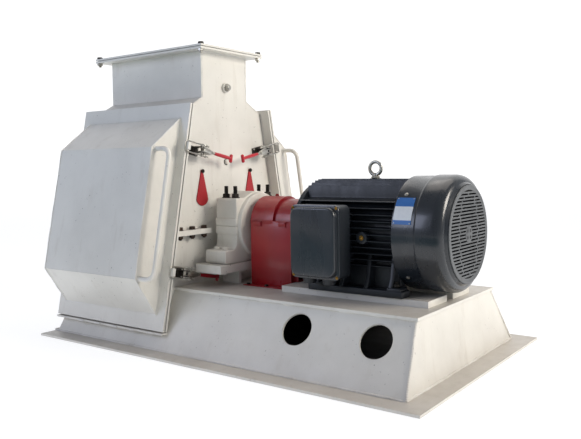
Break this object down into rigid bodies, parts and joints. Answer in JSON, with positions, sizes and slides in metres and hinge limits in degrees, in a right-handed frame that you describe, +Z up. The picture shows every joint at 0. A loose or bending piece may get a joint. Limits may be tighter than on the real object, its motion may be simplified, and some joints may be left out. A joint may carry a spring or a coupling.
{
  "type": "hammer mill",
  "caption": "Water-drop hammer mill with two hinged doors, a direct-coupled motor under a guard, and one welded base.",
  "frame": {"origin": "middle of the footprint at floor level", "axes": "+X along the shaft from the mill to the motor, -Y towards the front door, +Z up"},
  "size_m": [2.649, 1.467, 1.68],
  "materials": {
    "cream_enamel": "semi-gloss enamel over welded sheet",
    "cast_cream": "enamel over a sand casting",
    "guard_red": "gloss red enamel",
    "motor_enamel": "dark slate enamel over cast iron",
    "rim_grey": "satin grey enamel",
    "zinc": "zinc plated, slightly dulled",
    "machined_steel": "turned steel with an oil film",
    "worn_iron": "dark, with worn bright edges",
    "screen_steel": "perforated sheet, dusty",
    "seal_rubber": "matt black",
    "fan_plastic": "matt black"
  },
  "bodies": {
    "mill": {"floor_flange": "cream_enamel", "base_shell": "cream_enamel", "base_top_plate": "cream_enamel", "pedestal_drive": "cream_enamel", "bracket_outboard": "cream_enamel", "side_plate_drive": "cream_enamel", "side_plate_outboard": "cream_enamel", "inlet_flange": "cream_enamel", "inlet_counter_flange": "cream_enamel", "side_plug": "cream_enamel", "upper_casing_front": "cream_enamel", "upper_casing_rear": "cream_enamel", "door_frame_front": "cream_enamel", "door_frame_rear": "cream_enamel", "bearing_base_drive": "cast_cream", "bearing_cap_drive": "cast_cream", "bearing_base_outboard": "cast_cream", "bearing_cap_outboard": "cast_cream", "coupling_guard_lower": "guard_red", "coupling_guard_upper": "guard_red", "motor_frame": "motor_enamel", "motor_end_shield": "motor_enamel", "fan_cowl": "motor_enamel", "terminal_box": "motor_enamel", "terminal_box_lid": "motor_enamel", "cowl_grille": "rim_grey", "eye_bolt": "zinc", "screen_front": "screen_steel", "screen_rear": "screen_steel", "door_seal_front": "seal_rubber", "door_seal_rear": "seal_rubber", "latch_base_front_upper": "zinc", "latch_base_front_lower": "zinc", "latch_base_rear_upper": "zinc", "latch_base_rear_lower": "zinc"},
    "door_leaf_front": {"door_front": "cream_enamel", "door_handle_front": "cream_enamel"},
    "latch_arm_front_upper": {"latch_lever_front_upper": "zinc"},
    "latch_loop_front_upper": {"latch_hook_front_upper": "zinc"},
    "latch_arm_front_lower": {"latch_lever_front_lower": "zinc"},
    "latch_loop_front_lower": {"latch_hook_front_lower": "zinc"},
    "door_leaf_rear": {"door_rear": "cream_enamel", "door_handle_rear": "cream_enamel"},
    "latch_arm_rear_upper": {"latch_lever_rear_upper": "zinc"},
    "latch_loop_rear_upper": {"latch_hook_rear_upper": "zinc"},
    "latch_arm_rear_lower": {"latch_lever_rear_lower": "zinc"},
    "latch_loop_rear_lower": {"latch_hook_rear_lower": "zinc"},
    "mill_rotor": {"main_shaft": "machined_steel", "rotor_disc_pack": "worn_iron", "coupling_half_mill": "machined_steel"},
    "motor_rotor": {"motor_shaft": "machined_steel", "motor_fan": "fan_plastic", "coupling_half_motor": "machined_steel"},
    "hammers_1": {"hammer_row_1": "worn_iron"},
    "hammers_2": {"hammer_row_2": "worn_iron"},
    "hammers_3": {"hammer_row_3": "worn_iron"},
    "hammers_4": {"hammer_row_4": "worn_iron"},
    "feed_flap": {"feed_flap": "machined_steel"},
    "pin_cover_front": {"pin_cover_front": "guard_red"},
    "pin_cover_rear": {"pin_cover_rear": "guard_red"}
  },
  "joints": [
    {"name": "door_hinge_front", "type": "hinge", "parent": "mill", "child": "door_leaf_front", "pos_m": [-1.1495, -0.48203, 0.68743], "axis": [0, -0.1961, -0.9806], "range_deg": [0, 110]},
    {"name": "latch_arm_pivot_front_upper", "type": "hinge", "parent": "mill", "child": "latch_arm_front_upper", "pos_m": [-0.2005, -0.3016, 1.07456], "axis": [0, -0.1961, -0.9806], "range_deg": [0, 110]},
    {"name": "latch_loop_pivot_front_upper", "type": "hinge", "parent": "latch_arm_front_upper", "child": "latch_loop_front_upper", "pos_m": [-0.2085, -0.27529, 1.0693], "axis": [0, -0.1961, -0.9806], "range_deg": [-144, 0]},
    {"name": "latch_arm_pivot_front_lower", "type": "hinge", "parent": "mill", "child": "latch_arm_front_lower", "pos_m": [-0.2005, -0.43673, 0.3989], "axis": [0, -0.1961, -0.9806], "range_deg": [0, 110]},
    {"name": "latch_loop_pivot_front_lower", "type": "hinge", "parent": "latch_arm_front_lower", "child": "latch_loop_front_lower", "pos_m": [-0.2085, -0.41042, 0.39364], "axis": [0, -0.1961, -0.9806], "range_deg": [-144, 0]},
    {"name": "door_hinge_rear", "type": "hinge", "parent": "mill", "child": "door_leaf_rear", "pos_m": [-1.1495, 0.48203, 0.68743], "axis": [0, -0.1961, 0.9806], "range_deg": [0, 110]},
    {"name": "latch_arm_pivot_rear_upper", "type": "hinge", "parent": "mill", "child": "latch_arm_rear_upper", "pos_m": [-0.2005, 0.3016, 1.07456], "axis": [0, -0.1961, 0.9806], "range_deg": [0, 110]},
    {"name": "latch_loop_pivot_rear_upper", "type": "hinge", "parent": "latch_arm_rear_upper", "child": "latch_loop_rear_upper", "pos_m": [-0.2085, 0.27529, 1.0693], "axis": [0, -0.1961, 0.9806], "range_deg": [-144, 0]},
    {"name": "latch_arm_pivot_rear_lower", "type": "hinge", "parent": "mill", "child": "latch_arm_rear_lower", "pos_m": [-0.2005, 0.43673, 0.3989], "axis": [0, -0.1961, 0.9806], "range_deg": [0, 110]},
    {"name": "latch_loop_pivot_rear_lower", "type": "hinge", "parent": "latch_arm_rear_lower", "child": "latch_loop_rear_lower", "pos_m": [-0.2085, 0.41042, 0.39364], "axis": [0, -0.1961, 0.9806], "range_deg": [-144, 0]},
    {"name": "mill_rotor_spin", "type": "hinge", "parent": "mill", "child": "mill_rotor", "pos_m": [-0.6745, 0, 0.643], "axis": [1, 0, 0], "continuous": true},
    {"name": "motor_rotor_spin", "type": "hinge", "parent": "mill", "child": "motor_rotor", "pos_m": [0.5255, 0, 0.643], "axis": [1, 0, 0], "continuous": true},
    {"name": "hammer_swing_1", "type": "hinge", "parent": "mill_rotor", "child": "hammers_1", "pos_m": [-0.6745, 0.19092, 0.83392], "axis": [1, 0, 0], "range_deg": [-90, 90]},
    {"name": "hammer_swing_2", "type": "hinge", "parent": "mill_rotor", "child": "hammers_2", "pos_m": [-0.6745, -0.19092, 0.83392], "axis": [1, 0, 0], "range_deg": [-90, 90]},
    {"name": "hammer_swing_3", "type": "hinge", "parent": "mill_rotor", "child": "hammers_3", "pos_m": [-0.6745, -0.19092, 0.45208], "axis": [1, 0, 0], "range_deg": [-90, 90]},
    {"name": "hammer_swing_4", "type": "hinge", "parent": "mill_rotor", "child": "hammers_4", "pos_m": [-0.6745, 0.19092, 0.45208], "axis": [1, 0, 0], "range_deg": [-90, 90]},
    {"name": "feed_flap_swing", "type": "hinge", "parent": "mill", "child": "feed_flap", "pos_m": [-0.6745, 0, 1.447], "axis": [1, 0, 0], "range_deg": [-40, 40]},
    {"name": "pin_cover_swing_front", "type": "hinge", "parent": "mill", "child": "pin_cover_front", "pos_m": [-0.2845, -0.21449, 0.95499], "axis": [1, 0, 0], "range_deg": [-70, 90]},
    {"name": "pin_cover_swing_rear", "type": "hinge", "parent": "mill", "child": "pin_cover_rear", "pos_m": [-0.2845, 0.21449, 0.95499], "axis": [1, 0, 0], "range_deg": [-90, 70]}
  ],
  "couplings": [
    {"joint": "latch_loop_pivot_front_upper", "follows": "latch_arm_pivot_front_upper", "ratio": -1.3},
    {"joint": "latch_loop_pivot_front_lower", "follows": "latch_arm_pivot_front_lower", "ratio": -1.3},
    {"joint": "latch_loop_pivot_rear_upper", "follows": "latch_arm_pivot_rear_upper", "ratio": -1.3},
    {"joint": "latch_loop_pivot_rear_lower", "follows": "latch_arm_pivot_rear_lower", "ratio": -1.3},
    {"joint": "motor_rotor_spin", "follows": "mill_rotor_spin", "ratio": 1}
  ]
}
